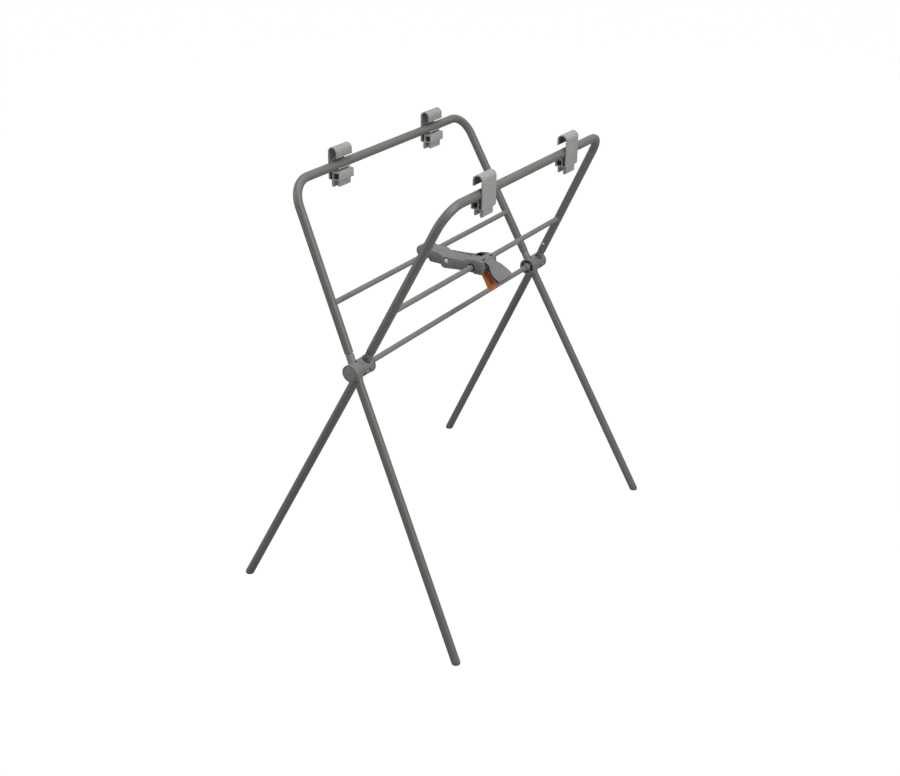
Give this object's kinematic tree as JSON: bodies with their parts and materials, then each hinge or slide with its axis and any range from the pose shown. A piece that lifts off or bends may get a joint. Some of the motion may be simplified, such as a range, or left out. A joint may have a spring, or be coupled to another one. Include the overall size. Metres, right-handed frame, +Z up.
{
  "type": "baby bath stand",
  "caption": "Folding X-frame stand for a baby bath: crossed tube frames on one pivot rod, a knee brace with squeeze release between them, and hooked clips on the rim bars.",
  "frame": {"origin": "on the floor, midway between the feet and between the frames' ends", "axes": "+X along the rim bars, +Z up, +Y towards the rim bar of frame A"},
  "size_m": [0.9124, 0.601, 0.9761],
  "materials": {
    "frame_tube": "warm grey powder coat, satin",
    "bar": "warm grey powder coat, satin",
    "foot": "dark grey moulded plastic",
    "hub": "dark grey moulded plastic",
    "hub_cap": "dark grey moulded plastic",
    "steel": "zinc plated",
    "clip": "mid grey moulded plastic",
    "clamp": "mid grey moulded plastic",
    "sleeve": "black moulded plastic",
    "brace": "grey moulded plastic",
    "grip": "grey moulded plastic",
    "grip_inner": "grey moulded plastic",
    "lever": "orange moulded plastic"
  },
  "bodies": {
    "frame_a": {"rim_tube_a": "frame_tube", "crossbar_a": "bar", "lower_leg_a_near": "frame_tube", "lower_leg_a_far": "frame_tube", "foot_a_near": "foot", "foot_a_far": "foot", "hub_a_outer": "hub", "hub_a_inner": "hub", "hub_cap_a": "hub_cap", "hub_screw_a": "steel", "pivot_rod": "bar", "button_spring_a_near": "steel", "button_spring_a_far": "steel", "stop_rivets_a": "steel"},
    "frame_b": {"rim_tube_b": "frame_tube", "crossbar_b": "bar", "lower_leg_b_near": "frame_tube", "lower_leg_b_far": "frame_tube", "foot_b_near": "foot", "foot_b_far": "foot", "hub_b_outer": "hub", "hub_b_inner": "hub", "hub_cap_b": "hub_cap", "hub_screw_b": "steel", "button_spring_b_near": "steel", "button_spring_b_far": "steel", "stop_rivets_b": "steel", "lock_sleeve": "sleeve"},
    "arm": {"brace_arm": "brace", "arm_keeper": "brace", "knee_pin": "steel"},
    "housing": {"brace_housing": "brace", "knee_rivets": "steel", "grip_shell": "grip", "grip_plate": "grip_inner", "lever_pin": "steel", "lever_spring": "steel"},
    "lever": {"release_lever": "lever"},
    "button_a_near_body": {"button_a_near": "steel"},
    "button_a_far_body": {"button_a_far": "steel"},
    "button_b_near_body": {"button_b_near": "steel"},
    "button_b_far_body": {"button_b_far": "steel"},
    "clip_a_near": {"rim_clip_a_near": "clip", "clip_clamp_a_near": "clamp"},
    "clip_a_far": {"rim_clip_a_far": "clip", "clip_clamp_a_far": "clamp"},
    "clip_b_near": {"rim_clip_b_near": "clip", "clip_clamp_b_near": "clamp"},
    "clip_b_far": {"rim_clip_b_far": "clip", "clip_clamp_b_far": "clamp"}
  },
  "joints": [
    {"name": "fold", "type": "hinge", "parent": "frame_a", "child": "frame_b", "pos_m": [0, 0, 0.5773], "axis": [-1, 0, 0], "range_deg": [0, 39]},
    {"name": "arm_fold", "type": "hinge", "parent": "frame_a", "child": "arm", "pos_m": [-0.006, 0.06375, 0.7062], "axis": [-1, 0, 0], "range_deg": [0, 103.98]},
    {"name": "housing_fold", "type": "hinge", "parent": "frame_b", "child": "housing", "pos_m": [-0.006, -0.06375, 0.7062], "axis": [1, 0, 0], "range_deg": [0, 84.45]},
    {"name": "release", "type": "hinge", "parent": "housing", "child": "lever", "pos_m": [-0.006, -0.08405, 0.6982], "axis": [-1, 0, 0], "range_deg": [0, 6.5], "stiffness_Nm_per_rad": 3, "springref_deg": -3.44, "deforming": ["lever_spring"]},
    {"name": "button_a_near", "type": "slide", "parent": "frame_a", "child": "button_a_near_body", "axis": [-0.9949, 0.0445, 0.0901], "range_m": [0, 0.0024], "stiffness_N_per_m": 2500, "springref_m": -0.0008, "deforming": ["button_spring_a_near"]},
    {"name": "button_a_far", "type": "slide", "parent": "frame_a", "child": "button_a_far_body", "axis": [0.9949, 0.0445, 0.0901], "range_m": [0, 0.0024], "stiffness_N_per_m": 2500, "springref_m": -0.0008, "deforming": ["button_spring_a_far"]},
    {"name": "button_b_near", "type": "slide", "parent": "frame_b", "child": "button_b_near_body", "axis": [-0.9949, -0.0445, 0.0901], "range_m": [0, 0.0024], "stiffness_N_per_m": 2500, "springref_m": -0.0008, "deforming": ["button_spring_b_near"]},
    {"name": "button_b_far", "type": "slide", "parent": "frame_b", "child": "button_b_far_body", "axis": [0.9949, -0.0445, 0.0901], "range_m": [0, 0.0024], "stiffness_N_per_m": 2500, "springref_m": -0.0008, "deforming": ["button_spring_b_far"]},
    {"name": "clip_turn_a_near", "type": "hinge", "parent": "frame_a", "child": "clip_a_near", "pos_m": [-0.176, 0.1771, 0.9354], "axis": [1, 0, 0], "range_deg": [-15, 15]},
    {"name": "clip_turn_a_far", "type": "hinge", "parent": "frame_a", "child": "clip_a_far", "pos_m": [0.176, 0.1771, 0.9354], "axis": [1, 0, 0], "range_deg": [-15, 15]},
    {"name": "clip_turn_b_near", "type": "hinge", "parent": "frame_b", "child": "clip_b_near", "pos_m": [-0.176, -0.1771, 0.9354], "axis": [1, 0, 0], "range_deg": [-15, 15]},
    {"name": "clip_turn_b_far", "type": "hinge", "parent": "frame_b", "child": "clip_b_far", "pos_m": [0.176, -0.1771, 0.9354], "axis": [1, 0, 0], "range_deg": [-15, 15]}
  ],
  "couplings": [
    {"joint": "arm_fold", "follows": "fold", "ratio": 2.6658},
    {"joint": "housing_fold", "follows": "fold", "ratio": 2.1652}
  ]
}
